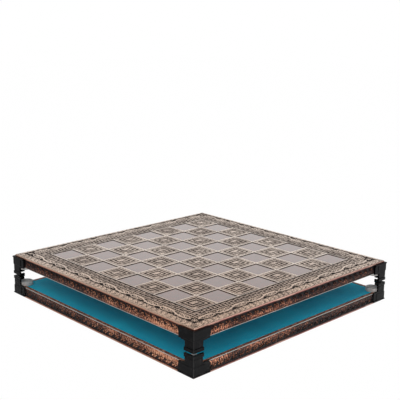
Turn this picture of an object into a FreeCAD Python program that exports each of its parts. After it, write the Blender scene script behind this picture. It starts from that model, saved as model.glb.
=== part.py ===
import FreeCAD, Part
import os

from FreeCAD import Vector

# Enamel chessboard: an embossed metal plate with enamel squares, on a wooden core
# with pressed metal edge strips, a cloth-lined underside and four cast corner feet.
# The origin is the centre of the board, on the plane that the feet stand on.
# X and Y run along the sides and Z is up. All sizes are in millimetres.

# Playing field
squares_per_side = 8
ridge_width = 4.0

# Heights, from the plane that the feet stand on
under_clearance = 15.8
strip_height = 15.4
rim_height = 2.5
crown_rise = 1.8

# Top plate
board_side = 440.0
slope_width = 10.0
rim_round = 0.8
plate_thickness = 2.4
enamel_recess = 1.4
enamel_thickness = 0.55
enamel_edge_chamfer = 0.25
relief_depth = 0.8

# Border bands, as distances in from the edge of the plate
outer_groove_start = 10.3
outer_groove_width = 2.6
scroll_band_width = 11.6
scroll_band_depth = 0.45
inner_groove_width = 2.5
key_band_width = 12.0
keys_per_side = 29
field_groove_width = 1.0
groove_depth = 0.9

# Relief squares: a sunk frame line, a plain margin and a square spiral on a grid of strokes
frame_line_width = 1.2
spiral_margin = 4.4
spiral_strokes = 11
# Running key of the border, on a grid of this many strokes
key_strokes = 5

# Edge strips
strip_setback = 0.5
strip_thickness = 2.0
strip_return_width = 4.0
strip_return_thickness = 0.8
strip_foot_fillet = 1.0
strip_bulge_height = 7.0
strip_bulge_inset = 0.7
strip_cove_inset = 0.9
strip_head_fillet = 1.2

# Underside lining
lining_gap = 0.3

# Corner feet
foot_wall = 3.3
foot_wing_length = 30.5
foot_pier_length = 21.5
foot_shaft_length = 18.0
foot_shaft_inset = 0.6
foot_wing_inset = 0.7
foot_wing_drop = 0.8
foot_corbel_length = 25.5
foot_corbel_drop = 0.8
foot_cove_radius = 1.6
foot_ring_height = 5.2
foot_ring_overhang = 1.2
foot_groove_height = 1.0
foot_groove_depth = 0.7
foot_base_chamfer = 0.5
foot_belt_height = 17.3
foot_belt_slope = 0.8
foot_cap_height = 2.8
foot_cap_flare = 0.8
foot_cap_top_step = 0.6

# Corner pads, each with a square spigot pressed into the core
pad_radius = 11.5
pad_height = 6.3
pad_chamfer = 0.8
spigot_width = 5.6
spigot_depth = 8.0
spigot_grip_clearance = 0.05
spigot_end_clearance = 0.5
lining_hole_clearance = 0.25

# Worked-out heights
strip_bottom = under_clearance
rim_bottom = strip_bottom + strip_height
rim_top = rim_bottom + rim_height
field_top = rim_top + crown_rise
core_bottom = strip_bottom + strip_return_thickness
core_top = field_top - plate_thickness

# Worked-out half widths
plate_half = board_side / 2
strip_half = plate_half - strip_setback
core_half = strip_half - strip_thickness
crown_half = plate_half - slope_width
core_edge_top = core_top - crown_rise * (core_half - crown_half) / slope_width

# Worked-out starts of the border bands
scroll_band_start = outer_groove_start + outer_groove_width
inner_groove_start = scroll_band_start + scroll_band_width
key_band_start = inner_groove_start + inner_groove_width
field_groove_start = key_band_start + key_band_width

# Worked-out squares, which fill what the border leaves
field_half = plate_half - field_groove_start - field_groove_width - ridge_width / 2
square_pitch = 2 * field_half / squares_per_side
square_side = square_pitch - ridge_width

# Worked-out axis of the front left pad, which touches both walls of its foot
pad_middle = pad_radius - strip_half

# How far in the middle of a quarter arc lies, as a share of its radius
arc_middle = 1 - 0.5 ** 0.5

UP = Vector(0, 0, 1)
ORIGIN = Vector(0, 0, 0)
OVERLAP = 1.0


def save(node, shape):
    """Write one node of the part."""
    shape.exportStep(os.path.join("parts", node + ".step"))


def quarter_turn(shape, turns):
    """A copy of a shape, turned about the board's centre."""
    turned = shape.copy()
    turned.rotate(ORIGIN, UP, 90.0 * turns)
    return turned


def square_wire(half, height):
    """A square outline round the Z axis at one height."""
    corners = [(-half, -half), (half, -half), (half, half), (-half, half), (-half, -half)]
    return Part.makePolygon([Vector(x, y, height) for x, y in corners])


def square_slab(half, bottom, top):
    """A square slab round the Z axis."""
    return Part.Face(square_wire(half, bottom)).extrude(Vector(0, 0, top - bottom))


def square_ring(outer_half, inner_half, bottom, top):
    """A square ring round the Z axis."""
    return square_slab(outer_half, bottom, top).cut(square_slab(inner_half, bottom, top))


def tapered_slab(half_low, low, half_high, high):
    """A slab whose four sides slope in from one height to another."""
    def corners(half, height):
        return [Vector(x * half, y * half, height) for x, y in [(-1, -1), (1, -1), (1, 1), (-1, 1)]]

    foot = corners(half_low, low)
    head = corners(half_high, high)
    sides = [[foot[n], foot[(n + 1) % 4], head[(n + 1) % 4], head[n]] for n in range(4)]
    faces = [Part.Face(Part.makePolygon(ring + [ring[0]])) for ring in sides + [foot, head]]
    return Part.makeSolid(Part.makeShell(faces))


def outline(start, steps):
    """A closed face in a plane, from points and from (middle, end) pairs for arcs."""
    edges = []
    here = start
    for step in steps + [start]:
        if isinstance(step, tuple):
            middle, end = step
            edges.append(Part.Arc(here, middle, end).toShape())
        else:
            end = step
            edges.append(Part.LineSegment(here, end).toShape())
        here = end
    return Part.Face(Part.Wire(edges))


def stroke(points, width_x, width_y, bottom, top):
    """A bent stroke of square ends along a path of corners, as one solid."""
    legs = []
    for (x0, y0), (x1, y1) in zip(points, points[1:]):
        low = Vector(min(x0, x1) - width_x / 2, min(y0, y1) - width_y / 2, bottom)
        legs.append(Part.makeBox(abs(x1 - x0) + width_x, abs(y1 - y0) + width_y, top - bottom, low))
    return legs[0].fuse(legs[1:]).removeSplitter()


def square_centre(column, row):
    """The middle of one square of the field."""
    middle = (squares_per_side - 1) / 2
    return Vector((column - middle) * square_pitch, (row - middle) * square_pitch, 0)


def field_squares(enamelled):
    """Columns and rows of the enamelled squares, or of the relief squares."""
    cells = [(column, row) for column in range(squares_per_side) for row in range(squares_per_side)]
    return [cell for cell in cells if (sum(cell) % 2 == 1) == enamelled]


def enamel_pocket():
    """The sunk bed of one enamel square, round the Z axis."""
    return square_slab(square_side / 2, field_top - enamel_recess, field_top + OVERLAP)


def spiral_groove():
    """The sunk square spiral of one relief square, round the Z axis."""
    unit = (square_side - 2 * spiral_margin) / spiral_strokes
    ring = [0.5, 2.5, 4.5]
    far = [spiral_strokes - near for near in ring]
    turns = [(ring[1], ring[0]), (far[0], ring[0]), (far[0], far[0]), (ring[0], far[0]),
             (ring[0], ring[1]), (far[1], ring[1]), (far[1], far[1]), (ring[1], far[1]),
             (ring[1], ring[2]), (far[2], ring[2])]
    shift = spiral_strokes / 2
    points = [((x - shift) * unit, (y - shift) * unit) for x, y in turns]
    return stroke(points, unit, unit, field_top - relief_depth, field_top + OVERLAP)


def frame_line():
    """The sunk line along the outline of one relief square, round the Z axis."""
    half = square_side / 2
    return square_ring(half, half - frame_line_width, field_top - relief_depth, field_top + OVERLAP)


def key_grooves():
    """The sunk hooks of the running key along the front side, with the corner hook."""
    run_start = key_band_start + key_band_width - plate_half
    length = -2 * run_start / keys_per_side
    across = key_band_width / key_strokes
    along = length / key_strokes
    hook = [(4.5, 4.5), (4.5, 1.5), (1.5, 1.5), (1.5, 3.5), (2.5, 3.5)]
    base = key_band_start - plate_half
    low = field_top - relief_depth
    high = field_top + OVERLAP
    points = [(run_start + x * along, base + y * across) for x, y in hook]
    first = stroke(points, along, across, low, high)
    keys = []
    for number in range(keys_per_side):
        key = first.copy()
        key.translate(Vector(number * length, 0, 0))
        keys.append(key)
    corner_hook = [(1.5, 3.5), (1.5, 1.5), (3.5, 1.5), (3.5, 2.5)]
    corner_points = [(base + x * across, base + y * across) for x, y in corner_hook]
    keys.append(stroke(corner_points, across, across, low, high))
    return keys


def border_groove(start, width, depth):
    """A square groove that runs round the plate, parallel to its edge."""
    outer = plate_half - start
    return square_ring(outer, outer - width, field_top - depth, field_top + OVERLAP)


def plate_blank():
    """The top plate with its rounded rim and sloping border, before the relief is sunk."""
    rim = square_slab(plate_half, rim_bottom, rim_top)
    crown = tapered_slab(plate_half, rim_top, crown_half, field_top)
    blank = rim.fuse(crown).removeSplitter()
    rim_edges = []
    for edge in blank.Edges:
        box = edge.BoundBox
        level = abs(box.ZMin - rim_top) < 1e-6 and abs(box.ZMax - rim_top) < 1e-6
        if level and max(abs(box.XMin), abs(box.XMax), abs(box.YMin), abs(box.YMax)) > crown_half:
            rim_edges.append(edge)
    return blank.makeFillet(rim_round, rim_edges)


def core_blank():
    """The wooden core, with its top edge bevelled to the slope of the plate."""
    slab = square_slab(core_half, core_bottom, core_edge_top)
    bevel = tapered_slab(core_half, core_edge_top, crown_half, core_top)
    return slab.fuse(bevel).removeSplitter()


def top_plate(core):
    """The embossed plate with its beds for the enamel, its spirals, key border and grooves."""
    sunk = []
    bed = enamel_pocket()
    for cell in field_squares(enamelled=True):
        pocket = bed.copy()
        pocket.translate(square_centre(*cell))
        sunk.append(pocket)
    relief = [frame_line(), spiral_groove()]
    for cell in field_squares(enamelled=False):
        for form in relief:
            groove = form.copy()
            groove.translate(square_centre(*cell))
            sunk.append(groove)
    for turns in range(4):
        sunk += [quarter_turn(key, turns) for key in key_grooves()]
    sunk.append(border_groove(outer_groove_start, outer_groove_width, groove_depth))
    sunk.append(border_groove(scroll_band_start, scroll_band_width, scroll_band_depth))
    sunk.append(border_groove(inner_groove_start, inner_groove_width, groove_depth))
    sunk.append(border_groove(field_groove_start, field_groove_width, groove_depth))
    return plate_blank().cut(core).cut(Part.makeCompound(sunk))


def enamel_square():
    """One enamel square in its bed, with a softened upper edge, round the Z axis."""
    bottom = field_top - enamel_recess
    top = bottom + enamel_thickness
    half = square_side / 2
    shoulder = top - enamel_edge_chamfer
    body = square_slab(half, bottom, shoulder)
    return body.fuse(tapered_slab(half, shoulder, half - enamel_edge_chamfer, top)).removeSplitter()


def edge_strip():
    """The front edge strip: a cove over a bulge, mitred at both ends and turned in below."""
    def at(out, height):
        return Vector(0, -(strip_half - out), height)

    bulge_bottom = strip_bottom + strip_foot_fillet
    bulge_top = bulge_bottom + strip_bulge_height
    head_bottom = rim_bottom - strip_head_fillet
    inner = strip_thickness
    section = outline(at(0, strip_bottom), [
        at(0, bulge_bottom),
        at(strip_bulge_inset, bulge_bottom),
        (at(0, (bulge_bottom + bulge_top) / 2), at(strip_bulge_inset, bulge_top)),
        (at(strip_cove_inset, (bulge_top + head_bottom) / 2), at(strip_bulge_inset / 2, head_bottom)),
        at(0, head_bottom),
        at(0, rim_bottom),
        at(inner, rim_bottom),
        at(inner, core_bottom),
        at(inner + strip_return_width, core_bottom),
        at(inner + strip_return_width, strip_bottom)])
    section.translate(Vector(-strip_half, 0, 0))
    bar = section.extrude(Vector(2 * strip_half, 0, 0))
    mitre = Part.Face(Part.makePolygon([
        Vector(-strip_half, -strip_half, strip_bottom), Vector(strip_half, -strip_half, strip_bottom),
        Vector(0, 0, strip_bottom), Vector(-strip_half, -strip_half, strip_bottom)]))
    return bar.common(mitre.extrude(Vector(0, 0, strip_height)))


def foot_section(reach):
    """The upright section of a foot's face: base ring, groove, shaft, belt and flared cap."""
    def at(out, height):
        return Vector(0, -(strip_half + out), height)

    face = foot_wall
    shaft = foot_wall - foot_shaft_inset
    groove_top = foot_ring_height + foot_groove_height
    cap_bottom = rim_bottom - foot_cap_height
    cap = foot_wall + foot_cap_flare
    return outline(at(-reach, 0), [
        at(face - foot_base_chamfer, 0),
        at(face, foot_base_chamfer),
        at(face, foot_ring_height),
        at(shaft, foot_ring_height),
        at(shaft - foot_groove_depth, foot_ring_height + foot_groove_height / 2),
        at(shaft, groove_top),
        at(shaft, foot_belt_height - foot_belt_slope),
        at(face, foot_belt_height),
        at(face, cap_bottom),
        (at(face + foot_cap_flare * arc_middle, cap_bottom + foot_cap_flare * (1 - arc_middle)),
         at(cap, cap_bottom + foot_cap_flare)),
        at(cap, rim_bottom - foot_cap_top_step),
        at(cap - foot_cap_top_step, rim_bottom),
        at(-reach, rim_bottom)])


def foot_undercut():
    """What is cut away below the wing of one leg, seen from the front of the foot."""
    depth = foot_wall + foot_cap_flare + OVERLAP
    corner = -(strip_half + foot_wall)

    def at(along, height):
        return Vector(corner + along, -(strip_half + depth), height)

    shaft = foot_shaft_length
    ring = shaft + foot_ring_overhang
    wing_bottom = under_clearance - foot_wing_drop
    corbel_bottom = wing_bottom - foot_corbel_drop
    cove_bottom = corbel_bottom - foot_cove_radius
    end = foot_wing_length + OVERLAP
    groove_top = foot_ring_height + foot_groove_height
    bend = foot_cove_radius * arc_middle
    face = outline(at(ring, -OVERLAP), [
        at(ring, foot_ring_height),
        at(shaft, foot_ring_height),
        at(shaft - foot_groove_depth, foot_ring_height + foot_groove_height / 2),
        at(shaft, groove_top),
        at(shaft, cove_bottom),
        (at(shaft + bend, corbel_bottom - bend), at(shaft + foot_cove_radius, corbel_bottom)),
        at(foot_corbel_length, corbel_bottom),
        at(foot_corbel_length, wing_bottom),
        at(end, wing_bottom),
        at(end, -OVERLAP)])
    return face.extrude(Vector(0, depth + OVERLAP, 0))


def across_diagonal(shape):
    """A mirror copy of a shape over the diagonal of the front left corner."""
    return shape.mirror(ORIGIN, Vector(1, -1, 0))


def corner_foot():
    """The front left foot: a section mitred round the corner and cut to its stepped outline."""
    reach = foot_wing_length - foot_wall
    front = foot_section(reach)
    outer = strip_half + foot_wall + foot_cap_flare
    end = reach - strip_half
    front.translate(Vector(-outer, 0, 0))
    leg = front.extrude(Vector(outer + end, 0, 0))
    half_plan = Part.makePolygon([
        Vector(-outer, -outer, 0), Vector(end, -outer, 0), Vector(end, end, 0), Vector(-outer, -outer, 0)])
    mitred = leg.common(Part.Face(half_plan).extrude(Vector(0, 0, rim_bottom)))
    angle = mitred.fuse(across_diagonal(mitred))
    inside = Part.makeBox(reach + OVERLAP, reach + OVERLAP, rim_bottom + 2 * OVERLAP,
                          Vector(-strip_half, -strip_half, -OVERLAP))
    undercut = foot_undercut()
    panel_depth = foot_wing_inset + foot_cap_flare
    panel = Part.makeBox(foot_wing_length - foot_pier_length + OVERLAP, panel_depth,
                         rim_bottom - foot_cap_height,
                         Vector(foot_pier_length - strip_half - foot_wall, -outer, 0))
    cuts = [inside, undercut, across_diagonal(undercut), panel, across_diagonal(panel)]
    return angle.cut(cuts).removeSplitter()


def pad_bar(half, bottom, top):
    """A square bar on the axis of the front left pad."""
    bar = square_slab(half, bottom, top)
    bar.translate(Vector(pad_middle, pad_middle, 0))
    return bar


def corner_pad():
    """The front left pad, with the square spigot that holds it to the core."""
    bottom = strip_bottom - pad_height
    disc = Part.makeCylinder(pad_radius, pad_height, Vector(pad_middle, pad_middle, bottom))
    lower_edge = [edge for edge in disc.Edges if abs(edge.BoundBox.ZMax - bottom) < 1e-6]
    spigot = pad_bar(spigot_width / 2, strip_bottom, core_bottom + spigot_depth)
    return disc.makeChamfer(pad_chamfer, lower_edge).fuse(spigot)


def main():
    os.makedirs("parts", exist_ok=True)

    core = core_blank()
    save("top_plate", top_plate(core))

    tile = enamel_square()
    for column, row in field_squares(enamelled=True):
        square = tile.copy()
        square.translate(square_centre(column, row))
        save("enamel_" + "abcdefgh"[column] + str(row + 1), square)

    strip = edge_strip()
    for turns, side in enumerate(["front", "right", "back", "left"]):
        save("edge_strip_" + side, quarter_turn(strip, turns))

    foot = corner_foot()
    pad = corner_pad()
    for turns, corner in enumerate(["front_left", "front_right", "back_right", "back_left"]):
        save("corner_foot_" + corner, quarter_turn(foot, turns))
        save("corner_pad_" + corner, quarter_turn(pad, turns))

    socket_top = core_bottom + spigot_depth + spigot_end_clearance
    socket = pad_bar(spigot_width / 2 + spigot_grip_clearance, core_bottom, socket_top)
    save("core_panel", core.cut([quarter_turn(socket, turns) for turns in range(4)]))

    lining_half = core_half - strip_return_width - lining_gap
    lining = square_slab(lining_half, strip_bottom, core_bottom)
    hole = pad_bar(spigot_width / 2 + lining_hole_clearance, strip_bottom, core_bottom)
    save("underside_lining", lining.cut([quarter_turn(hole, turns) for turns in range(4)]))


main()
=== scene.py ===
"""Looks of an enamelled metal chessboard: its relief, its finishes, a mirror floor, lamps and a camera."""

import logging
import math
from dataclasses import dataclass, field
from enum import Enum

import bmesh
import bpy
from mathutils import Matrix, Vector

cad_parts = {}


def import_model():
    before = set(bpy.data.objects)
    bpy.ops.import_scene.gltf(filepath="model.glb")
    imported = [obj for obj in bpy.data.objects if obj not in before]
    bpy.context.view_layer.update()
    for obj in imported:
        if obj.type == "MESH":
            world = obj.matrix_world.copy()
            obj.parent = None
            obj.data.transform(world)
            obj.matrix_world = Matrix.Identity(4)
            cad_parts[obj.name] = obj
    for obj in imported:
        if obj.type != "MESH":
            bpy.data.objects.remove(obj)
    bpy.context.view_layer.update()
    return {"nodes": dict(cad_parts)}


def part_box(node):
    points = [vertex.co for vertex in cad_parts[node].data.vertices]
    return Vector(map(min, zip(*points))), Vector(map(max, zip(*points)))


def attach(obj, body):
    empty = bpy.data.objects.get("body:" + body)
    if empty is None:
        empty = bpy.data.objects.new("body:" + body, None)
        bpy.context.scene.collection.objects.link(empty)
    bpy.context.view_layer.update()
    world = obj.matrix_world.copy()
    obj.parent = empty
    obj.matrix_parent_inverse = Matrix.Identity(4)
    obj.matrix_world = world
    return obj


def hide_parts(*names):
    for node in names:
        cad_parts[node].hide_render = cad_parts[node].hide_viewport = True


LOG = logging.getLogger("chessboard")
MM = 0.001
ROOT_BODY = "root"

Colour = tuple[float, float, float]


class Side(Enum):
    """The four sides of the board, by how many quarter turns each lies from the front."""

    FRONT = 0
    RIGHT = 1
    BACK = 2
    LEFT = 3

    @property
    def turn(self) -> Matrix:
        """The rotation that carries the front side to this one."""
        return Matrix.Rotation(self.value * math.pi / 2, 4, "Z")

    @property
    def label(self) -> str:
        """The side's name, as it ends the names of pieces."""
        return self.name.lower()

    @property
    def corner_label(self) -> str:
        """The name of the corner that the front left corner is carried to."""
        return ["front_left", "front_right", "back_right", "back_left"][self.value]


class Slot(Enum):
    """The record's material slots."""

    EMBOSSED_METAL = "embossed_metal"
    STRIP_METAL = "strip_metal"
    LINING_CLOTH = "lining_cloth"


class Signal:
    """A number or a socket of a shader, as a value in arithmetic."""

    def __init__(self, shader: "Shader", source: "bpy.types.NodeSocket | float | None") -> None:
        """Wraps a socket or a number of one shader, or nothing for a node without outputs."""
        self.shader = shader
        self.source = source

    def _join(self, operation: str, *others: "Signal | float") -> "Signal":
        """One Math node on this value and the others.

        Args:
            operation: the node's operation.
            *others: the values that come after this one.

        Returns:
            The node's value.
        """
        values = [self.source] + [o.source if isinstance(o, Signal) else o for o in others]
        return self.shader.node("ShaderNodeMath", {"operation": operation}, dict(enumerate(values)))

    def __add__(self, other: "Signal | float") -> "Signal":
        """The sum."""
        return self._join("ADD", other)

    __radd__ = __add__

    def __sub__(self, other: "Signal | float") -> "Signal":
        """The difference."""
        return self._join("SUBTRACT", other)

    def __rsub__(self, other: float) -> "Signal":
        """The difference from a number."""
        return Signal(self.shader, other)._join("SUBTRACT", self)

    def __mul__(self, other: "Signal | float") -> "Signal":
        """The product."""
        return self._join("MULTIPLY", other)

    __rmul__ = __mul__

    def __truediv__(self, other: "Signal | float") -> "Signal":
        """The quotient."""
        return self._join("DIVIDE", other)

    def size(self) -> "Signal":
        """The absolute value."""
        return self._join("ABSOLUTE")

    def most(self, other: "Signal | float") -> "Signal":
        """The larger of two values."""
        return self._join("MAXIMUM", other)

    def least(self, other: "Signal | float") -> "Signal":
        """The smaller of two values."""
        return self._join("MINIMUM", other)

    def fold(self, period: float) -> "Signal":
        """The distance from the nearest whole number of periods."""
        return self._join("PINGPONG", period / 2)

    def step(self, low: float, high: float) -> "Signal":
        """A smooth step from 0 at low to 1 at high.

        Args:
            low: the value where the step starts.
            high: the value where it ends.

        Returns:
            The step, from 0 to 1.
        """
        settings = {"interpolation_type": "SMOOTHSTEP"}
        values = {"Value": self, "From Min": low, "From Max": high, "To Min": 0.0, "To Max": 1.0}
        return self.shader.node("ShaderNodeMapRange", settings, values)


class Shader:
    """The node tree of one material, or of the world."""

    def __init__(self, name: str,
                 kind: type[bpy.types.Material] | type[bpy.types.World] = bpy.types.Material) -> None:
        """Starts an empty tree.

        Args:
            name: the name of what it belongs to.
            kind: whether that is a material or a world.
        """
        worlds = kind is bpy.types.World
        self.owner = (bpy.data.worlds if worlds else bpy.data.materials).new(name)
        self.end = "ShaderNodeOutputWorld" if worlds else "ShaderNodeOutputMaterial"
        self.owner.use_nodes = True
        self.tree = self.owner.node_tree
        self.tree.nodes.clear()

    def node(self, kind: str, settings: dict[str, object] | None = None,
             values: dict[str | int, object] | None = None, output: str | int = 0) -> Signal:
        """Adds one node.

        Args:
            kind: the node's type.
            settings: the node's own options, and "stops" for a colour ramp.
            values: the numbers, colours or links of its input sockets.
            output: the output socket to hand back, where the node has any.

        Returns:
            The chosen output.
        """
        made = self.tree.nodes.new(kind)
        for name, value in (settings or {}).items():
            if name == "stops":
                self._set_stops(made.color_ramp, value)
            else:
                setattr(made, name, value)
        for key, value in (values or {}).items():
            source = value.source if isinstance(value, Signal) else value
            if isinstance(source, bpy.types.NodeSocket):
                self.tree.links.new(source, made.inputs[key])
            elif isinstance(source, tuple) and made.inputs[key].type == "RGBA":
                made.inputs[key].default_value = (*source, 1.0)
            else:
                made.inputs[key].default_value = source
        return Signal(self, made.outputs[output] if made.outputs else None)

    @staticmethod
    def _set_stops(ramp: bpy.types.ColorRamp, stops: list[tuple[float, Colour]]) -> None:
        """Writes the stops of a colour ramp.

        Args:
            ramp: the ramp.
            stops: the place and the colour of each stop.
        """
        while len(ramp.elements) < len(stops):
            ramp.elements.new(1.0)
        for element, (place, colour) in zip(ramp.elements, stops):
            element.position = place
            element.color = (*colour, 1.0)

    def place(self) -> tuple[Signal, Signal, Signal, Signal]:
        """The object's coordinates.

        Returns:
            The point as a vector, and its x, y and z in metres.
        """
        vector = self.node("ShaderNodeTexCoord", output="Object")
        parts = [self.node("ShaderNodeSeparateXYZ", None, {0: vector}, axis) for axis in "XYZ"]
        return vector, parts[0], parts[1], parts[2]

    def noise(self, vector: Signal, scale: float, detail: float = 3.0, roughness: float = 0.5) -> Signal:
        """A noise from 0 to 1.

        Args:
            vector: the place that it is read at.
            scale: how many features lie in a metre.
            detail: how many finer layers it has.
            roughness: how strong the finer layers are.

        Returns:
            The noise.
        """
        values = {"Vector": vector, "Scale": scale, "Detail": detail, "Roughness": roughness}
        return self.node("ShaderNodeTexNoise", None, values, "Fac")

    def blend(self, share: "Signal | float", first: "Signal | Colour", second: "Signal | Colour") -> Signal:
        """A mix of two colours.

        Args:
            share: 0 for the first colour, 1 for the second.
            first: the first colour.
            second: the second colour.

        Returns:
            The mixed colour.
        """
        settings = {"data_type": "RGBA"}
        return self.node("ShaderNodeMix", settings, {0: share, 6: first, 7: second}, 2)

    def bump(self, height: Signal, distance: float, strength: float) -> Signal:
        """A normal bent by a height.

        Args:
            height: the height, from 0 to 1.
            distance: what a height of 1 stands for, in metres.
            strength: how much of the bump shows.

        Returns:
            The normal.
        """
        values = {"Height": height, "Distance": distance, "Strength": strength}
        return self.node("ShaderNodeBump", None, values, "Normal")

    def surface(self, **sockets: object) -> bpy.types.Material:
        """Ends the tree in a Principled surface.

        Args:
            **sockets: the surface's inputs, with an underscore for each space.

        Returns:
            The finished material.
        """
        values = {name.replace("_", " "): value for name, value in sockets.items()}
        return self.finish(self.node("ShaderNodeBsdfPrincipled", None, values))

    def finish(self, surface: Signal) -> bpy.types.Material | bpy.types.World:
        """Ends the tree in a surface.

        Args:
            surface: what the surface, or the world's, is.

        Returns:
            What the tree belongs to.
        """
        self.node(self.end, None, {"Surface": surface})
        return self.owner


@dataclass(frozen=True)
class PlateShape:
    """Where the surface of the top plate lies, for what is set on it or tinted by its depth.

    Attributes:
        half: half of the plate's side.
        top: the height of the field.
        rim_top: the height of the plate's edge.
        rim_foot: the height of the rim's underside.
        slope_width: how wide the sloping border is.
        pitch: how far apart the middles of the squares lie.
    """

    half: float
    top: float
    rim_top: float
    rim_foot: float
    slope_width: float = 10.0 * MM
    pitch: float = 44.5 * MM

    @property
    def rise(self) -> float:
        """How steep the sloping border is."""
        return (self.top - self.rim_top) / self.slope_width

    def depth(self, shader: Shader) -> Signal:
        """How far below the plate's unpressed surface a point lies.

        Args:
            shader: the shader that reads it.

        Returns:
            The depth in metres.
        """
        _, _, _, z = shader.place()
        surface = (self.inset(shader) * self.rise + self.rim_top).least(self.top)
        return surface - z

    def inset(self, shader: Shader) -> Signal:
        """How far in from the plate's edge a point lies, in metres."""
        _, x, y, _ = shader.place()
        return self.half - x.size().most(y.size())

    def off_ridge(self, shader: Shader) -> Signal:
        """How far from the middle of the nearest ridge of the field a point lies, in metres."""
        _, x, y, _ = shader.place()
        return x.fold(self.pitch).least(y.fold(self.pitch))


@dataclass(frozen=True)
class AntiqueMetal:
    """Pale copper-bronze, rubbed bright on the relief, dark in its hollows and coppery on the rim, with
    painted light and shade on the rim by side, a painted highlight on the ridges of the field and painted
    shade beside the frame ridge.

    Attributes:
        plate: the plate that it is on.
        polish_and_highlight: the metal on the ridges of the field, rubbed bright and made lighter still as
            a painted highlight.
        rubbed: the metal on the rest of the relief.
        warm: the metal near the front left corner.
        dull: the metal where the patina has stayed.
        hollow: the patina in the hollows.
        rim: the arris on the front and left sides, its lighter copy as painted light.
        rim_line: the line under that arris.
        shaded_rim: the arris on the right and back sides, a darker copy of it as painted shade.
        shaded_line: the line under that arris, darker as painted shade.
        rim_band: how far in the arris starts and ends to fade.
        line_height: how high the line under it is.
        hollow_band: the depths between which the plate darkens.
        relief_band: the depths between which the raised ornament darkens.
        slope_tone: how much deeper the sloping border is tinted than it lies.
        ridge_foot: how far in the foot of the frame ridge lies.
        foot_band: how far to each side of that foot its dark line fades, a line of patina widened with
            painted shade of the groove there.
        key_band: how far in the Greek key starts and ends.
        tarnish_band: how far in the tarnish of the near squares sets in.
        grid_band: how far in the ridges of the field begin.
        ridge_band: how far from a ridge's middle its polish fades.
        soft_edge: how wide the key's own tarnish fades at its edges.
    """

    plate: PlateShape
    polish_and_highlight: Colour = (0.95, 0.86, 0.78)
    rubbed: Colour = (0.80, 0.67, 0.575)
    warm: Colour = (0.66, 0.465, 0.345)
    dull: Colour = (0.22, 0.150, 0.115)
    hollow: Colour = (0.012, 0.007, 0.005)
    rim: Colour = (0.42, 0.28, 0.21)
    rim_line: Colour = (0.30, 0.105, 0.062)
    shaded_rim: Colour = (0.24, 0.135, 0.11)
    shaded_line: Colour = (0.075, 0.018, 0.016)
    rim_band: tuple[float, float] = (0.35 * MM, 0.9 * MM)
    line_height: float = 0.9 * MM
    hollow_band: tuple[float, float] = (-0.01 * MM, 0.09 * MM)
    relief_band: tuple[float, float] = (0.10 * MM, 0.32 * MM)
    slope_tone: float = 0.038 * MM
    ridge_foot: float = 40.4 * MM
    foot_band: tuple[float, float] = (0.9 * MM, 2.2 * MM)
    key_band: tuple[float, float] = (27.0 * MM, 39.0 * MM)
    tarnish_band: tuple[float, float] = (26.0 * MM, 30.0 * MM)
    grid_band: tuple[float, float] = (40.2 * MM, 40.8 * MM)
    ridge_band: tuple[float, float] = (1.0 * MM, 1.9 * MM)
    soft_edge: float = 0.6 * MM

    def material(self, raised: bool) -> bpy.types.Material:
        """Builds the finish.

        Args:
            raised: whether it is for the raised ornament, which is rubbed brighter.

        Returns:
            The material.
        """
        shader = Shader("relief_metal" if raised else "antique_metal")
        vector, x, y, z = shader.place()
        inset = self.plate.inset(shader)
        clouds = shader.noise(vector, 38.0, 4.0, 0.6)
        grain = shader.noise(vector, 620.0, 3.0, 0.6)
        speckle = shader.noise(vector, 2600.0, 2.0, 0.5)
        edge = 1.0 - inset.step(*self.rim_band)
        depth = self.plate.depth(shader) + (grain - 0.5) * (0.30 * MM)
        if raised:
            hollowed = depth.step(*self.relief_band)
        else:
            slope = 1.0 - inset.step(self.plate.slope_width, self.plate.slope_width + 0.3 * MM)
            # A dark line beside the frame ridge's foot: patina, widened with painted shade of the narrow
            # groove there.
            beside_ridge_shade = 1.0 - (inset - self.ridge_foot).size().step(*self.foot_band)
            hollowed = (depth + slope * self.slope_tone).step(*self.hollow_band).most(beside_ridge_shade)
        hollowed = hollowed * (1.0 - edge)
        near = 1.0 - (x + y + clouds * 0.2).step(-0.30, 0.16)
        bright = shader.blend(near * 0.9, self.rubbed, self.warm)
        worn = shader.blend(clouds.step(0.38, 0.66) * (0.25 if raised else 0.60), bright, self.dull)
        rubbed = shader.blend(grain.step(0.44, 0.60) * (0.25 if raised else 0.55), worn, self.dull)
        if not raised:
            rubbed = self._field_wear_and_highlight(shader, inset, near, rubbed)
        patina = shader.blend(hollowed, rubbed, self.hollow)
        # The arris and the line under it are lighter on one pair of sides and darker on the other: painted
        # light and shade by side.
        turned = (y - x).step(-0.03, 0.03)
        over_foot = z - self.plate.rim_foot + (clouds - 0.5) * MM
        line = 1.0 - over_foot.step(self.line_height, self.line_height * 1.5)
        arris = shader.blend(turned, self.shaded_rim, self.rim)
        rim = shader.blend(line, arris, shader.blend(turned, self.shaded_line, self.rim_line))
        colour = shader.blend(edge * (1.0 - clouds.step(0.45, 0.75) * 0.3), patina, rim)
        roughness = hollowed * 0.45 + grain * 0.16 + 0.28
        normal = shader.bump(grain * 0.7 + speckle * 0.3, 0.12 * MM, 0.6)
        return shader.surface(Base_Color=colour, Roughness=roughness, Metallic=(1.0 - hollowed) * 0.94,
                              Specular_IOR_Level=0.15, Normal=normal)

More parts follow.
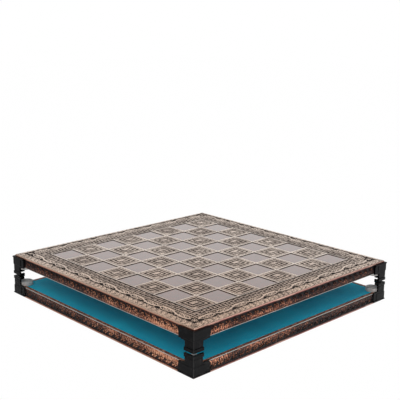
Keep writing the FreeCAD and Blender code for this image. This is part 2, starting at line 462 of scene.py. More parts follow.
    def _field_wear_and_highlight(self, shader: Shader, inset: Signal, near: Signal, metal: Signal) -> Signal:
        """Polishes the ridges of the field and lightens them further with a painted highlight, and leaves
        the key and the near squares duller.

        Args:
            shader: the plate's shader.
            inset: how far in a point lies.
            near: how near the front left corner it lies, from 0 to 1.
            metal: the metal's colour before that.

        Returns:
            The metal's colour.
        """
        start, end = self.key_band
        ridge = (1.0 - self.plate.off_ridge(shader).step(*self.ridge_band)) * inset.step(*self.grid_band)
        keyed = inset.step(start, start + self.soft_edge) * (1.0 - inset.step(end - self.soft_edge, end))
        tarnished = shader.blend(near * inset.step(*self.tarnish_band) * 0.25, metal, self.dull)
        # The ridges of the field: rubbed metal, lightened further as a painted highlight on their arrises.
        polish_and_highlight = shader.blend(ridge * (1.0 - near * 0.4) * 0.50, tarnished, self.polish_and_highlight)
        return shader.blend(keyed * 0.18, polish_and_highlight, self.dull)


@dataclass(frozen=True)
class StripMetal:
    """Copper relief under a dark patina, brighter towards the foot of the strip, with painted shade towards
    its head and a painted highlight towards the front left and back right corners.

    Attributes:
        plane: how far the strip's face stands from the middle of the board.
        low: the height of the strip's foot.
        high: the height of its head.
        wear: how much of the patina has been rubbed off, from 0 to 1; its value on each side also makes
            that side lighter or darker as painted light and shade.
        tones: the metal from its full patina to bare copper.
        edge: the pale line along the foot, a painted highlight.
        foot_highlight_height: how high that painted highlight is.
        face_band: how far behind the plane the face starts and ends to fade.
        flange_band: how far behind the plane the turned-in edge sets in.
    """

    plane: float
    low: float
    high: float
    wear: float = 0.6
    tones: tuple[tuple[float, Colour], ...] = (
        (0.0, (0.006, 0.003, 0.003)), (0.30, (0.020, 0.008, 0.007)), (0.55, (0.13, 0.050, 0.034)),
        (0.80, (0.36, 0.135, 0.070)), (1.0, (0.58, 0.30, 0.185)))
    edge: Colour = (0.58, 0.56, 0.52)
    foot_highlight_height: float = 0.5 * MM
    face_band: tuple[float, float] = (0.5 * MM, 0.8 * MM)
    flange_band: tuple[float, float] = (1.2 * MM, 1.6 * MM)

    def material(self, raised: bool) -> bpy.types.Material:
        """Builds the finish.

        Args:
            raised: whether it is for the raised ornament, which is rubbed brighter.

        Returns:
            The material.
        """
        shader = Shader("strip_ornament" if raised else "strip_metal")
        vector, x, y, z = shader.place()
        height = (z - self.low) / (self.high - self.low)
        # Brighter towards the front left and back right corners: a painted highlight.
        near_corner_glint = (x + y).size().step(0.08, 0.40)
        clouds = shader.noise(vector, 40.0, 2.0, 0.5) - 0.5
        grains = shader.noise(vector, 360.0, 3.0, 0.65) - 0.5
        fine = shader.noise(vector, 1300.0, 3.0, 0.6)
        if raised:
            bright = 0.18 + (near_corner_glint * 0.7 + 0.3) * (self.wear * 0.70 + 0.18)
            # Darker towards the head: partly patina, partly painted shade under the plate's lip.
            bright = bright - height.step(0.62, 0.88) * 0.50
        else:
            bright = (near_corner_glint * 0.8 + 0.2) * (self.wear * 0.95)
            # Darker towards the head: partly patina, partly painted shade under the plate's lip.
            bright = bright - height.step(0.30, 0.52) * (0.10 + self.wear * 0.75)
        bright = bright + clouds * 0.9 + grains * 2.8
        behind = self.plane - x.size().most(y.size())
        flange = behind.step(*self.flange_band)
        bright = bright * (1.0 - flange) + (grains * 2.0 + 0.66) * flange
        tone = shader.node("ShaderNodeValToRGB", {"stops": list(self.tones)}, {0: bright})
        face = 1.0 - behind.step(*self.face_band)
        # A pale line along the foot of the face: a painted highlight.
        line = (1.0 - (z - self.low).step(self.foot_highlight_height, self.foot_highlight_height * 1.6)) * face
        bright = bright * (face * 0.8 + 0.2)
        colour = shader.blend(line * 0.9, tone, self.edge)
        normal = shader.bump(grains * 0.7 + fine * 0.3, 0.30 * MM, 0.6)
        roughness = 0.55 - bright.step(0.2, 0.7) * 0.25 + fine * 0.1
        metallic = bright.step(0.15, 0.6) * (0.95 - line * 0.6)
        return shader.surface(Base_Color=colour, Roughness=roughness, Metallic=metallic,
                              Specular_IOR_Level=0.15, Normal=normal)


@dataclass(frozen=True)
class Enamel:
    """Glossy dark red-brown enamel under a clear layer, dark with painted shade and dull where it meets its
    bed.

    Attributes:
        plate: the plate that it lies in.
        body: the enamel's colour.
        cloud: its darker clouds.
        edge_shade: the painted shade along its edge, where it meets the wall of its bed.
        shaded_seam: how far from a ridge's middle that painted shade fades.
    """

    plate: PlateShape
    body: Colour = (0.120, 0.017, 0.008)
    cloud: Colour = (0.070, 0.010, 0.005)
    edge_shade: Colour = (0.006, 0.004, 0.003)
    shaded_seam: tuple[float, float] = (2.9 * MM, 3.6 * MM)

    def material(self) -> bpy.types.Material:
        """Builds the finish.

        Returns:
            The material.
        """
        shader = Shader("red_brown_enamel")
        vector, _, _, _ = shader.place()
        cloud = shader.noise(vector, 90.0, 3.0, 0.55)
        ripple = shader.noise(vector, 55.0, 1.0, 0.4)
        speck = shader.noise(vector, 1400.0, 2.0, 0.5)
        # Painted shade along the edge where the enamel meets the wall of its bed, which is also left dull.
        shaded_seam = 1.0 - self.plate.off_ridge(shader).step(*self.shaded_seam)
        colour = shader.blend(shaded_seam, shader.blend(cloud.step(0.35, 0.70), self.body, self.cloud), self.edge_shade)
        return shader.surface(Base_Color=colour, Roughness=speck * 0.08 + shaded_seam * 0.6 + 0.16,
                              Coat_Weight=1.0 - shaded_seam, Coat_Roughness=0.03, Coat_IOR=1.55,
                              Specular_IOR_Level=0.5, Specular_Tint=(1.0, 0.76, 0.50),
                              Normal=shader.bump(ripple, 0.25 * MM, 0.25))


@dataclass(frozen=True)
class BlackCasting:
    """Satin black lacquer on a fine cast skin, with wear that shows grey.

    Attributes:
        lacquer: the lacquer's colour.
        worn: the grey that shows where it has worn.
    """

    lacquer: Colour = (0.002, 0.002, 0.0025)
    worn: Colour = (0.045, 0.043, 0.043)

    def material(self) -> bpy.types.Material:
        """Builds the finish.

        Returns:
            The material.
        """
        shader = Shader("black_casting")
        vector, x, y, _ = shader.place()
        cloud = shader.noise(vector, 120.0, 4.0, 0.6)
        skin = shader.noise(vector, 1500.0, 2.0, 0.5)
        arris = 1.0 - (x.size() - y.size()).size().step(0.10 * MM, 0.70 * MM)
        worn = (cloud.step(0.50, 0.78) * 0.25).most(arris * (cloud * 0.8 + 0.5)).least(1.0)
        colour = shader.blend(worn, self.lacquer, self.worn)
        return shader.surface(Base_Color=colour, Roughness=cloud * 0.18 + 0.30, Specular_IOR_Level=0.05,
                              Normal=shader.bump(skin, 0.08 * MM, 0.35))


@dataclass(frozen=True)
class GreyPad:
    """Matt light grey moulded pad.

    Attributes:
        body: the pad's colour.
        mottle: its darker mottling.
    """

    body: Colour = (0.52, 0.49, 0.47)
    mottle: Colour = (0.40, 0.375, 0.36)

    def material(self) -> bpy.types.Material:
        """Builds the finish.

        Returns:
            The material.
        """
        shader = Shader("grey_pad")
        vector, _, _, _ = shader.place()
        mottle = shader.noise(vector, 260.0, 4.0, 0.6)
        skin = shader.noise(vector, 2400.0, 2.0, 0.5)
        colour = shader.blend(mottle.step(0.40, 0.70), self.body, self.mottle)
        return shader.surface(Base_Color=colour, Roughness=mottle * 0.15 + 0.58,
                              Normal=shader.bump(skin, 0.08 * MM, 0.4))


@dataclass(frozen=True)
class CoreWood:
    """Pressed wood board, with its fibres in flakes.

    Attributes:
        pale: the colour of the pale flakes.
        dark: the colour of the dark flakes.
    """

    pale: Colour = (0.46, 0.33, 0.20)
    dark: Colour = (0.30, 0.20, 0.11)

    def material(self) -> bpy.types.Material:
        """Builds the finish.

        Returns:
            The material.
        """
        shader = Shader("pressed_wood")
        vector, _, _, _ = shader.place()
        flakes = shader.noise(vector, 420.0, 5.0, 0.7)
        colour = shader.blend(flakes.step(0.38, 0.64), self.pale, self.dark)
        return shader.surface(Base_Color=colour, Roughness=flakes * 0.1 + 0.75,
                              Normal=shader.bump(flakes, 0.2 * MM, 0.4))


@dataclass(frozen=True)
class TealFelt:
    """Teal felt: matted fibres with a soft sheen.

    Attributes:
        wool: the colour of the felt.
        light_wool: the colour of its lighter fibres.
    """

    wool: Colour = (0.001, 0.340, 0.500)
    light_wool: Colour = (0.003, 0.450, 0.610)

    def material(self) -> bpy.types.Material:
        """Builds the finish.

        Returns:
            The material.
        """
        shader = Shader("teal_felt")
        vector, _, _, _ = shader.place()
        cloud = shader.noise(vector, 22.0, 3.0, 0.55)
        fibre = shader.noise(vector, 1900.0, 4.0, 0.7)
        matted = shader.noise(vector, 420.0, 3.0, 0.6)
        share = cloud * 0.45 + fibre * 0.55
        colour = shader.blend(share.step(0.36, 0.66), self.wool, self.light_wool)
        normal = shader.bump(fibre * 0.6 + matted * 0.4, 0.25 * MM, 0.7)
        return shader.surface(Base_Color=colour, Roughness=0.95, Sheen_Weight=0.48, Sheen_Roughness=0.30,
                              Sheen_Tint=(0.60, 0.80, 0.90), Specular_IOR_Level=0.05, Normal=normal)


def edit_mesh(piece: bpy.types.Object) -> bmesh.types.BMesh:
    """The mesh of the piece that is in edit mode."""
    return bmesh.from_edit_mesh(piece.data)


def start_piece(name: str, scale: tuple[float, float, float] = (1.0, 1.0, 1.0)) -> bpy.types.Object:
    """Names and sizes the primitive that an operator has just added.

    Args:
        name: the piece's name.
        scale: how much it is stretched along its own axes.

    Returns:
        The new object.
    """
    piece = bpy.context.object
    piece.name = name
    piece.data.name = name
    piece.scale = scale
    bpy.ops.object.transform_apply(location=True, rotation=True, scale=True)
    return piece


def deselect() -> None:
    """Deselects every object."""
    bpy.ops.object.select_all(action="DESELECT")


def dress(piece: bpy.types.Object, material: bpy.types.Material) -> None:
    """Gives a piece its material.

    Args:
        piece: the piece.
        material: its finish.
    """
    piece.data.materials.clear()
    piece.data.materials.append(material)


@dataclass(frozen=True)
class Bend:
    """One arc of a stroke.

    Attributes:
        radius: the radius of the arc, in metres.
        turn: how far it turns, in degrees, to the left if positive.
        width: how wide the stroke is at its end, as a share of its full width.
    """

    radius: float
    turn: float
    width: float = 1.0


@dataclass(frozen=True)
class Stroke:
    """A raised stroke that follows arcs over a flat ground.

    Attributes:
        start: where it starts, in the plane.
        heading: the direction that it starts in, in degrees from +X.
        bends: its arcs, in order.
        width: its full width.
        height: its full height over the ground.
        root: its width at the start, as a share of its full width.
        facets: how many points its section has.
        step: how far each short stretch turns, in degrees.
    """

    start: tuple[float, float]
    heading: float
    bends: tuple[Bend, ...]
    width: float
    height: float
    root: float = 1.0
    facets: int = 6
    step: float = 20.0

    def model(self, name: str) -> bpy.types.Object:
        """Sweeps the stroke's section along its arcs.

        Args:
            name: the piece's name.

        Returns:
            A closed piece, with its lower half under the ground.
        """
        deselect()
        heading = math.radians(self.heading)
        place = Vector((*self.start, 0.0))
        bpy.ops.mesh.primitive_circle_add(
            vertices=self.facets, radius=1.0, fill_type="NOTHING", location=place,
            rotation=(math.pi / 2, 0.0, heading + math.pi / 2))
        piece = start_piece(name, (self.width / 2 * self.root, self.height * self.root, 1.0))
        bpy.ops.object.mode_set(mode="EDIT")
        bpy.ops.mesh.select_all(action="SELECT")
        share = self.root
        for bend in self.bends:
            sign = 1.0 if bend.turn > 0 else -1.0
            count = max(1, round(abs(bend.turn) / self.step))
            ahead = Vector((math.cos(heading), math.sin(heading), 0.0))
            centre = place + Vector((-ahead.y, ahead.x, 0.0)) * (sign * bend.radius)
            turn = math.radians(bend.turn) / count
            growth = (bend.width / share) ** (1.0 / count)
            for _ in range(count):
                bpy.ops.mesh.spin(steps=1, angle=-turn, center=centre, axis=(0.0, 0.0, 1.0))
                place = centre + Matrix.Rotation(turn, 3, "Z") @ (place - centre)
                bpy.ops.transform.resize(value=(growth, growth, growth), center_override=place)
                heading += turn
            share = bend.width
        bpy.ops.mesh.select_all(action="SELECT")
        bpy.ops.mesh.fill_holes(sides=0)
        bpy.ops.mesh.normals_make_consistent(inside=False)
        bpy.ops.object.mode_set(mode="OBJECT")
        return piece


@dataclass(frozen=True)
class Boss:
    """A raised round bead.

    Attributes:
        place: its middle, in the plane.
        radius: its radius.
        height: its height over the ground.
        segments: how many sides it has.
    """

    place: tuple[float, float]
    radius: float
    height: float
    segments: int = 10

    def model(self, name: str) -> bpy.types.Object:
        """Models the bead as a domed disc, with its foot under the ground.

        Args:
            name: the piece's name.

        Returns:
            A closed piece.
        """
        deselect()
        bpy.ops.mesh.primitive_cylinder_add(
            vertices=self.segments, radius=self.radius, depth=self.height,
            location=(*self.place, 0.0))
        piece = start_piece(name)
        bpy.ops.object.mode_set(mode="EDIT")
        bpy.ops.mesh.select_mode(type="FACE")
        mesh = edit_mesh(piece)
        for face in mesh.faces:
            face.select_set(face.normal.z > 0.9)
        bmesh.update_edit_mesh(piece.data)
        bpy.ops.mesh.inset(thickness=self.radius * 0.30, depth=self.height * 0.40)
        bpy.ops.mesh.inset(thickness=self.radius * 0.32, depth=self.height * 0.10)
        bpy.ops.object.mode_set(mode="OBJECT")
        return piece


def gather(pieces: list[bpy.types.Object], name: str) -> bpy.types.Object:
    """Joins pieces into one.

    Args:
        pieces: the pieces, of which the first is kept.
        name: the name of what they become.

    Returns:
        The joined piece.
    """
    deselect()
    for piece in pieces:
        piece.select_set(True)
    bpy.context.view_layer.objects.active = pieces[0]
    if len(pieces) > 1:
        bpy.ops.object.join()
    pieces[0].name = name
    pieces[0].data.name = name
    return pieces[0]


def repeat(motif: bpy.types.Object, places: list[Matrix], name: str) -> bpy.types.Object:
    """Copies a motif to many places, as one piece.

    Args:
        motif: the piece that is copied, and stays.
        places: where each copy goes.
        name: the name of the piece that the copies make.

    Returns:
        The piece.
    """
    copies = []
    for place in places:
        copy = motif.copy()
        copy.data = motif.data.copy()
        copy.data.transform(place)
        if place.determinant() < 0:
            copy.data.flip_normals()
        bpy.context.scene.collection.objects.link(copy)
        copies.append(copy)
    return gather(copies, name)


def discard(*motifs: bpy.types.Object) -> None:
    """Removes motifs that have been copied."""
    for motif in motifs:
        bpy.data.objects.remove(motif)


def settle(piece: bpy.types.Object, smooth: float | None = 40.0) -> bpy.types.Object:
    """Shades a finished piece and ties it to the board.

    Args:
        piece: the piece.
        smooth: the angle under which its edges shade smooth, in degrees, or None for flat faces.

    Returns:
        The same piece.
    """
    deselect()
    piece.select_set(True)
    bpy.context.view_layer.objects.active = piece
    if smooth is not None:
        bpy.ops.object.shade_smooth_by_angle(angle=math.radians(smooth))
    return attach(piece, ROOT_BODY)


def row_places(ground: Matrix, run: float, count: int) -> list[Matrix]:
    """Places along a row on the front side.

    Args:
        ground: the place of the middle of the row.
        run: how long the row is.
        count: how many places it has.

    Returns:
        The places, from left to right.
    """
    pitch = run / count
    return [ground @ Matrix.Translation(((n + 0.5 - count / 2) * pitch, 0.0, 0.0)) for n in range(count)]


@dataclass(frozen=True)
class Trim:
    """What raised ornament is made of.

    Attributes:
        finish: its material.
        slot: the record's slot that it stands for; not used.
    """

    finish: bpy.types.Material
    slot: Slot

    def set_row(self, motif: bpy.types.Object, places: list[Matrix], side: Side, name: str) -> None:
        """Copies a motif to its places on one side, dresses it and ties it to the board.

        Args:
            motif: what is repeated.
            places: its places on the front side.
            side: the side that they are turned to.
            name: the name of the piece.
        """
        piece = repeat(motif, [side.turn @ place for place in places], name)
        dress(piece, self.finish)
        settle(piece)
        LOG.info("%s: %d faces", piece.name, len(piece.data.polygons))


@dataclass
class PlateRelief:
    """The finer relief of the top plate: a running scroll, a wave band, beads and corner rosettes.

    Attributes:
        plate: the plate that it is set on.
        trim: what it is made of.
        scroll_inset: how far in the middle of the scroll band lies.
        scroll_ground: how far under the top of the plate that band's ground lies.
        scrolls_per_side: how many periods of the scroll a side has.
        scroll_rise: how far an arch of the stem rises.
        stem_width: how wide the stem is.
        corner_gap: how far from a corner rosette's middle the scroll starts.
        fillet_inset: how far in the plain raised line lies.
        wave_inset: how far in the middle of the wave band lies.
        waves_per_side: how many waves a side has.
        bead_inset: how far in the outer groove lies.
        beads_per_side: how many long beads a side has.
        pearl_inset: how far in the inner groove lies.
        pearls_per_side: how many small beads a side has.
        groove_depth: how deep both grooves are.
    """

    plate: PlateShape
    trim: Trim
    scroll_inset: float = 18.7 * MM
    scroll_ground: float = 0.45 * MM
    scrolls_per_side: int = 6
    scroll_rise: float = 3.6 * MM
    stem_width: float = 3.4 * MM
    corner_gap: float = 7.0 * MM
    fillet_inset: float = 23.8 * MM
    wave_inset: float = 5.0 * MM
    waves_per_side: int = 41
    bead_inset: float = 11.6 * MM
    beads_per_side: int = 33
    pearl_inset: float = 25.75 * MM
    pearls_per_side: int = 90
    groove_depth: float = 0.9 * MM

    def __post_init__(self) -> None:
        """Works out the lengths that the patterns fill."""
        run = 2 * (self.plate.half - self.scroll_inset - self.corner_gap)
        self.scroll_length = run / self.scrolls_per_side

    def on_field(self, inset: float, sink: float) -> Matrix:
        """The place of flat ornament in the front border.

        Args:
            inset: how far in from the edge its middle line lies.
            sink: how far under the top of the plate its ground lies.

        Returns:
            The matrix that carries it there.
        """
        return Matrix.Translation((0.0, inset - self.plate.half, self.plate.top - sink))

    def on_slope(self) -> Matrix:
        """The place of ornament in the middle of the front slope.

        Returns:
            The matrix that carries it there.
        """
        height = self.plate.rim_top + self.wave_inset * self.plate.rise
        place = Matrix.Translation((0.0, self.wave_inset - self.plate.half, height))
        return place @ Matrix.Rotation(math.atan(self.plate.rise), 4, "X")

    def stem(self) -> list[Stroke]:
        """One period of the scroll's stem, as two arcs.

        Returns:
            Its stroke.
        """
        chord = self.scroll_length / 2
        radius = (chord * chord / 4 + self.scroll_rise ** 2) / (2 * self.scroll_rise)
        half_turn = math.degrees(math.asin(chord / 2 / radius))
        bends = (Bend(radius, -2 * half_turn), Bend(radius, 2 * half_turn))
        return [Stroke((0.0, 0.0), half_turn, bends, self.stem_width, self.scroll_ground, step=7.0)]

    def volutes(self) -> list[Stroke]:
        """The two volutes that face each other under one arch of the stem.

        Returns:
            Their strokes.
        """
        height = self.scroll_ground
        large = (Bend(12.0 * MM, -25, 0.95), Bend(9.0 * MM, 43), Bend(3.2 * MM, 150, 1.0),
                 Bend(2.7 * MM, 130, 0.85))
        small = (Bend(11.0 * MM, 25, 0.95), Bend(7.0 * MM, -45), Bend(2.8 * MM, -150, 0.95),
                 Bend(2.3 * MM, -120, 0.8))
        return [Stroke((1.4 * MM, 0.4 * MM), -18, large, 2.1 * MM, height, root=0.8),
                Stroke((31.2 * MM, 0.5 * MM), -160, small, 1.9 * MM, height, root=0.8)]

    def leaves(self) -> list[Stroke]:
        """The leaves that fill the bay round the volutes and the stem.

        Returns:
            Their strokes.
        """
        outer = (Bend(5.0 * MM, 35), Bend(3.2 * MM, 60, 0.3))
        flat = (Bend(5.0 * MM, 20), Bend(6.0 * MM, 40, 0.3))
        palm = (Bend(9.0 * MM, -26), Bend(9.0 * MM, -26, 0.35))
        sprays = [
            ((17.3, -5.3), 100, palm, 2.8), ((3.6, 2.3), 62, outer, -3.0), ((29.0, 2.3), 118, outer, 3.0),
            ((9.6, 4.0), 25, flat, -2.0), ((23.0, 4.0), 155, flat, 2.0), ((27.0, -2.9), -20, flat, 1.8)]
        strokes = []
        for (x, y), heading, bends, width in sprays:
            hand = math.copysign(1.0, width)
            turned = tuple(Bend(bend.radius, hand * bend.turn, bend.width) for bend in bends)
            start = (x * MM, y * MM)
            strokes.append(Stroke(start, heading, turned, abs(width) * MM, self.scroll_ground, root=0.6))
        return strokes

    def fillet(self) -> bpy.types.Object:
        """The plain raised line along the inner edge of the scroll band.

        Returns:
            The motif, at the middle of its side.
        """
        run = self.plate.half - self.fillet_inset
        far = 400.0
        turn = math.degrees(2 * run / far)
        line = Stroke((-run, 0.0), -turn / 2, (Bend(far, turn),), 1.5 * MM, self.scroll_ground, step=1.0)
        return line.model("fillet")

    def scroll_motif(self) -> bpy.types.Object:
        """One period of the running scroll: the stem, with a filled bay below it and one above.

        Returns:
            The motif, from its left end.
        """
        parts = [stroke.model("stem") for stroke in self.stem()]
        bay = [stroke.model("curl") for stroke in self.volutes() + self.leaves()]
        bay.append(Boss((11.9 * MM, -1.7 * MM), 1.2 * MM, self.scroll_ground).model("eye"))
        bay.append(Boss((23.1 * MM, -1.5 * MM), 1.0 * MM, self.scroll_ground).model("eye"))
        lower = gather(bay, "bay")
        flip = Matrix.Translation((self.scroll_length / 2, 0.0, 0.0)) @ Matrix.Scale(-1, 4, (0, 1, 0))
        both = repeat(lower, [Matrix.Identity(4), flip], "bays")
        discard(lower)
        long_bends = (Bend(400.0 * MM, 1.2), Bend(400.0 * MM, 1.2, 0.5))
        dashes = [Stroke((x * MM, -5.0 * MM), -1.2, long_bends, 1.7 * MM, self.scroll_ground, root=0.5,
                         step=1.2).model("dash") for x in (9.0, 42.5)]
        return gather(parts + [both] + dashes, "scroll_motif")

    def rosette(self) -> bpy.types.Object:
        """A rosette of eight leaves round a bead, for a corner of the scroll band.

        Returns:
            The motif, about its middle.
        """
        leaf = Stroke((1.9 * MM, 0.0), 0.0, (Bend(9.0 * MM, 11, 1.0), Bend(9.0 * MM, 12, 0.35)),
                      2.7 * MM, self.scroll_ground, root=0.5, step=6.0).model("leaf")
        turns = [Matrix.Rotation(math.radians(45 * n), 4, "Z") for n in range(8)]
        leaves = repeat(leaf, turns, "leaves")
        discard(leaf)
        bead = Boss((0.0, 0.0), 1.8 * MM, self.scroll_ground * 1.05).model("bead")
        return gather([leaves, bead], "rosette")

    def wave(self) -> bpy.types.Object:
        """One curl of the wave band on the sloping border.

        Returns:
            The motif, about its middle.
        """
        bends = (Bend(9.0 * MM, 48), Bend(2.9 * MM, 135, 0.95), Bend(1.9 * MM, 160, 0.8))
        curl = Stroke((-6.2 * MM, -3.2 * MM), -14.0, bends, 1.9 * MM, 0.42 * MM, root=0.5, facets=4,
                      step=40.0).model("wave")
        bead = Boss((0.2 * MM, 0.0), 0.9 * MM, 0.34 * MM, 6).model("bead")
        return gather([curl, bead], "wave")

    def bead(self) -> bpy.types.Object:
        """A long bead, for the outer groove."""
        swell = (Bend(300.0 * MM, 0.5, 1.0), Bend(300.0 * MM, 0.5, 0.95), Bend(300.0 * MM, 0.35, 0.5))
        return Stroke((-3.5 * MM, 0.0), -0.6, swell, 2.4 * MM, 0.88 * MM, root=0.5, step=0.5).model("bead")

    def build(self) -> None:
        """Models the relief and sets it on all four sides."""
        scroll, rosette, wave, bead = self.scroll_motif(), self.rosette(), self.wave(), self.bead()
        pearl = Boss((0.0, 0.0), 1.05 * MM, 0.84 * MM, 6).model("pearl")
        line = self.fillet()
        half = self.plate.half
        corner = self.scroll_inset - half
        start = corner + self.corner_gap
        band = self.on_field(self.scroll_inset, self.scroll_ground)
        scrolls = [band @ Matrix.Translation((start + n * self.scroll_length, 0.0, 0.0))
                   for n in range(self.scrolls_per_side)]
        rosettes = [band @ Matrix.Translation((corner, 0.0, 0.0))]
        lines = [self.on_field(self.fillet_inset, self.scroll_ground)]
        waves = row_places(self.on_slope(), 2 * (half - 2 * self.wave_inset), self.waves_per_side)
        groove = self.on_field(self.bead_inset, self.groove_depth)
        beads = row_places(groove, 2 * (half - self.bead_inset), self.beads_per_side)
        groove = self.on_field(self.pearl_inset, self.groove_depth)
        pearls = row_places(groove, 2 * (half - self.pearl_inset), self.pearls_per_side)
        for side in Side:
            self.trim.set_row(scroll, scrolls, side, "border_scroll_" + side.label)
            self.trim.set_row(rosette, rosettes, side, "corner_rosette_" + side.corner_label)
            self.trim.set_row(line, lines, side, "scroll_fillet_" + side.label)
            self.trim.set_row(wave, waves, side, "slope_waves_" + side.label)
            self.trim.set_row(bead, beads, side, "groove_beads_" + side.label)
            self.trim.set_row(pearl, pearls, side, "groove_pearls_" + side.label)
        discard(scroll, rosette, wave, bead, pearl, line)


@dataclass
class StripRelief:
    """The pressed ornament of the edge strips: running curls that rise from a row of leaves.

    Attributes:
        plane: how far a strip's face stands from the middle of the board.
        low: the height of the strip's foot.
        high: the height of its head.
        foot_clearance: how far from a strip's ends its ornament stops.
        scroll_height: how high the curls lie, as a share of the strip's height.
        scroll_sink: how far behind the strip's plane their ground lies.
        leaf_height: how high the leaves lie, as a share of the strip's height.
        leaf_sink: how far behind the strip's plane their ground lies.
        scrolls_per_side: how many periods of curls a strip has.
        leaves_per_side: how many leaves a strip has.
    """

    plane: float
    low: float
    high: float
    foot_clearance: float = 30.0 * MM
    scroll_height: float = 0.60
    scroll_sink: float = 0.50 * MM
    leaf_height: float = 0.28
    leaf_sink: float = 0.25 * MM
    scrolls_per_side: int = 27
    leaves_per_side: int = 87

    def upright(self, height: float, sink: float) -> Matrix:
        """The place of flat ornament on the front strip.

        Args:
            height: how high its middle line lies, as a share of the strip's height.
            sink: how far behind the strip's plane its ground lies.

        Returns:
            The matrix that stands it up and carries it there.
        """
        z = self.low + (self.high - self.low) * height
        return Matrix.Translation((0.0, sink - self.plane, z)) @ Matrix.Rotation(math.pi / 2, 4, "X")

    def scroll(self) -> bpy.types.Object:
        """One period of the running curls: a large curl that rises and a small one that hangs.

        Returns:
            The motif, about its middle.
        """
        large = (Bend(9.0 * MM, 40), Bend(2.6 * MM, 150, 0.95), Bend(1.7 * MM, 150, 0.8),
                 Bend(1.0 * MM, 90, 0.7))
        small = (Bend(6.0 * MM, -35), Bend(1.6 * MM, -160, 0.9), Bend(1.0 * MM, -110, 0.7))
        leaf = (Bend(4.0 * MM, 35), Bend(3.0 * MM, 60, 0.3))
        parts = [
            Stroke((-5.5 * MM, -2.4 * MM), -8, large, 1.15 * MM, 0.85 * MM, root=0.6, step=30.0),
            Stroke((1.2 * MM, -2.0 * MM), 8, small, 1.0 * MM, 0.8 * MM, root=0.6, step=32.0),
            Stroke((5.2 * MM, -1.6 * MM), 100, leaf, 1.3 * MM, 0.8 * MM, root=0.5, step=30.0),
            Stroke((-3.9 * MM, 0.2 * MM), 80, leaf, 1.1 * MM, 0.8 * MM, root=0.5, step=30.0)]
        return gather([part.model("curl") for part in parts], "strip_scroll")

    def leaf(self) -> bpy.types.Object:
        """One slanting leaf of the lower row."""
        return Stroke((-0.8 * MM, -3.0 * MM), 52.0, (Bend(9.0 * MM, 22), Bend(8.0 * MM, 22, 0.5)),
                      1.9 * MM, 0.42 * MM, root=0.5, facets=6, step=11.0).model("leaf")

    def build(self, trims: dict[Side, Trim]) -> None:
        """Models the ornament and sets it on all four strips.

        Args:
            trims: what the ornament of each side is made of.
        """
        scroll, leaf = self.scroll(), self.leaf()
        run = 2 * (self.plane - self.foot_clearance)
        scrolls = row_places(self.upright(self.scroll_height, self.scroll_sink), run, self.scrolls_per_side)
        leaves = row_places(self.upright(self.leaf_height, self.leaf_sink), run, self.leaves_per_side)
        for side in Side:
            trims[side].set_row(scroll, scrolls, side, "strip_scroll_" + side.label)
            trims[side].set_row(leaf, leaves, side, "strip_leaves_" + side.label)
        discard(scroll, leaf)


@dataclass
class Lining:
    """The felt under the board, glued flat, with a slightly lifted edge.

    Attributes:
        node: the solid whose place it takes.
        finish: its material.
        divisions: how many faces it has along a side.
        edge_drop: how far its edge is lifted.
    """

    node: str
    finish: bpy.types.Material
    divisions: int = 60
    edge_drop: float = 0.12 * MM

    def build(self) -> None:
        """Models the felt sheet in the place of its solid."""
        low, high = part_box(self.node)
        middle = (low + high) / 2
        width = high.x - low.x
        deselect()
        bpy.ops.mesh.primitive_grid_add(x_subdivisions=self.divisions, y_subdivisions=self.divisions,
                                        size=width, location=(middle.x, middle.y, low.z + self.edge_drop))
        piece = start_piece("felt_lining")
        bpy.ops.object.mode_set(mode="EDIT")
        mesh = edit_mesh(piece)
        reach = width / 2 - 1.5 * width / self.divisions
        for vertex in mesh.verts:
            vertex.select_set(max(abs(vertex.co.x), abs(vertex.co.y)) < reach)
        mesh.select_flush(True)
        bmesh.update_edit_mesh(piece.data)
        bpy.ops.transform.translate(value=(0.0, 0.0, -self.edge_drop))
        bpy.ops.object.mode_set(mode="OBJECT")
        thick = piece.modifiers.new("thickness", "SOLIDIFY")
        thick.thickness = high.z - low.z - self.edge_drop
        thick.offset = 1.0
        bpy.ops.object.modifier_apply(modifier=thick.name)
        dress(piece, self.finish)
        settle(piece)
        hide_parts(self.node)
        LOG.info("felt_lining: %.1f mm square", width / MM)


@dataclass(frozen=True)
class Lamp:
    """One soft lamp that looks at the board.

    Attributes:
        name: its name.
        place: where it stands.
        size: how wide it is.
        power: its power in watts.
    """

    name: str
    place: tuple[float, float, float]
    size: float
    power: float

    def build(self) -> None:
        """Sets the lamp up."""
        place = Vector(self.place)
        data = bpy.data.lights.new(self.name, "AREA")
        data.size = self.size
        data.energy = self.power
        lamp = bpy.data.objects.new(self.name, data)
        lamp.matrix_world = Matrix.Translation(place) @ place.to_track_quat("Z", "Y").to_matrix().to_4x4()
        bpy.context.scene.collection.objects.link(lamp)


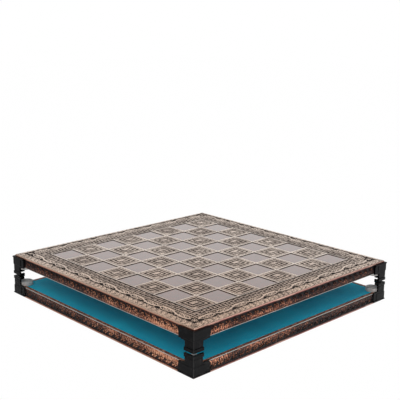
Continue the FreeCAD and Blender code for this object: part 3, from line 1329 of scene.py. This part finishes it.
@dataclass(frozen=True)
class Studio:
    """The mirror floor, the white surroundings, the lamps and the camera.

    The camera's numbers were fitted to the photograph's 400 pixel frame.

    Attributes:
        mirror_gap: how far under the feet the mirror's silver lies.
        floor_size: how wide the floor is.
        mirror_share: how much of the floor is mirror, the rest being chalk white.
        light_strength: how strong the surroundings light the board.
        lamps: a large soft key for the left side and a weak low one for the front side.
        camera_place: where the camera stands.
        azimuth: how far it is turned from the board's +Y axis, in degrees.
        pitch: how far it looks down, in degrees.
        roll: how far it is tilted, in degrees.
        lens: its focal length, in millimetres.
        sensor: its sensor's width, in millimetres.
    """

    mirror_gap: float = 1.6 * MM
    floor_size: float = 12.0
    mirror_share: float = 0.996
    light_strength: float = 0.55
    lamps: tuple[Lamp, ...] = (
        Lamp("key_lamp", (-1.5, -0.7, 1.7), 1.2, 14.0),
        Lamp("fill_lamp", (1.1, -1.5, 0.34), 0.8, 8.0))
    camera_place: tuple[float, float, float] = (-0.86514, -0.89595, 0.42340)
    azimuth: float = 44.02
    pitch: float = 13.126
    roll: float = 0.6878
    lens: float = 69.44
    sensor: float = 36.0

    def build(self) -> None:
        """Sets up the whole studio."""
        self.floor()
        self.world()
        for lamp in self.lamps:
            lamp.build()
        self.camera()

    def floor(self) -> None:
        """A white mirror under the board."""
        deselect()
        bpy.ops.mesh.primitive_grid_add(x_subdivisions=4, y_subdivisions=4, size=self.floor_size,
                                        location=(0.0, 0.0, -self.mirror_gap))
        piece = start_piece("mirror_floor")
        shader = Shader("mirror_floor")
        mirror = shader.node("ShaderNodeBsdfGlossy", None, {"Color": (1.0, 1.0, 1.0), "Roughness": 0.0})
        chalk = shader.node("ShaderNodeBsdfDiffuse", None, {"Color": (0.95, 0.95, 0.95)})
        both = shader.node("ShaderNodeMixShader", None, {0: self.mirror_share, 1: chalk, 2: mirror})
        piece.data.materials.append(shader.finish(both))

    def world(self) -> None:
        """White to the eye and in reflections, and a softer grey as light."""
        shader = Shader("white_surroundings", bpy.types.World)
        seen = Signal(shader, 0.0)
        for ray in ("Is Camera Ray", "Is Glossy Ray", "Is Transmission Ray"):
            seen = seen.most(shader.node("ShaderNodeLightPath", output=ray))
        white = (1.0, 1.0, 1.0)
        light = shader.node("ShaderNodeBackground", None, {"Color": white, "Strength": self.light_strength})
        shown = shader.node("ShaderNodeBackground", None, {"Color": white, "Strength": 1.0})
        both = shader.node("ShaderNodeMixShader", None, {0: seen, 1: light, 2: shown})
        bpy.context.scene.world = shader.finish(both)

    def camera(self) -> None:
        """The camera, as the photograph was taken."""
        data = bpy.data.cameras.new("camera")
        data.lens = self.lens
        data.sensor_width = self.sensor
        camera = bpy.data.objects.new("camera", data)
        camera.matrix_world = (
            Matrix.Translation(Vector(self.camera_place))
            @ Matrix.Rotation(math.radians(-self.azimuth), 4, "Z")
            @ Matrix.Rotation(math.radians(90.0 - self.pitch), 4, "X")
            @ Matrix.Rotation(math.radians(self.roll), 4, "Z"))
        bpy.context.scene.collection.objects.link(camera)
        bpy.context.scene.camera = camera


@dataclass
class Chessboard:
    """The whole board: the CAD pieces with their finishes, and what is modelled on them.

    Attributes:
        nodes: the CAD pieces by name.
        rim_height: how high the plate's edge is.
        strip_wear_and_light: how much of its patina each strip has lost, from 0 to 1, its values also
            setting each side lighter or darker as painted light and shade.
    """

    nodes: dict[str, bpy.types.Object]
    rim_height: float = 2.5 * MM
    # Partly wear, partly painted light and shade: the front strip is darker and the left one lighter for
    # how light falls on each side.
    strip_wear_and_light: dict[Side, float] = field(default_factory=lambda: {
        Side.FRONT: 0.42, Side.RIGHT: 0.6, Side.BACK: 0.55, Side.LEFT: 0.74})

    def __post_init__(self) -> None:
        """Reads the board's sizes from its pieces."""
        low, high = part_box("top_plate")
        self.plate = PlateShape(half=high.x, top=high.z, rim_top=low.z + self.rim_height, rim_foot=low.z)
        self.strip_low, self.strip_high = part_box("edge_strip_front")

    def dress_nodes(self, start: str, material: bpy.types.Material) -> None:
        """Gives a finish to every CAD piece whose name starts with some letters.

        Args:
            start: how the names start.
            material: the finish.
        """
        for name, node in self.nodes.items():
            if name.startswith(start):
                dress(node, material)

    def build(self) -> None:
        """Dresses the CAD pieces, then models the relief and the lining."""
        metal = AntiqueMetal(self.plate)
        felt = TealFelt().material()
        self.dress_nodes("top_plate", metal.material(raised=False))
        self.dress_nodes("enamel_", Enamel(self.plate).material())
        self.dress_nodes("corner_foot_", BlackCasting().material())
        self.dress_nodes("corner_pad_", GreyPad().material())
        self.dress_nodes("core_panel", CoreWood().material())
        self.dress_nodes("underside_lining", felt)
        trims = {}
        for side, wear in self.strip_wear_and_light.items():
            strip = StripMetal(-self.strip_low.y, self.strip_low.z, self.strip_high.z, wear)
            self.dress_nodes("edge_strip_" + side.label, strip.material(raised=False))
            trims[side] = Trim(strip.material(raised=True), Slot.STRIP_METAL)
        PlateRelief(self.plate, Trim(metal.material(raised=True), Slot.EMBOSSED_METAL)).build()
        StripRelief(-self.strip_low.y, self.strip_low.z, self.strip_high.z).build(trims)
        Lining("underside_lining", felt).build()


def main() -> None:
    """Builds the board and its studio."""
    logging.basicConfig(level=logging.INFO, format="%(name)s: %(message)s")
    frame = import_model()
    Chessboard(frame["nodes"]).build()
    Studio().build()
    bpy.context.scene.view_settings.view_transform = "Standard"


if __name__ == "__main__":
    main()
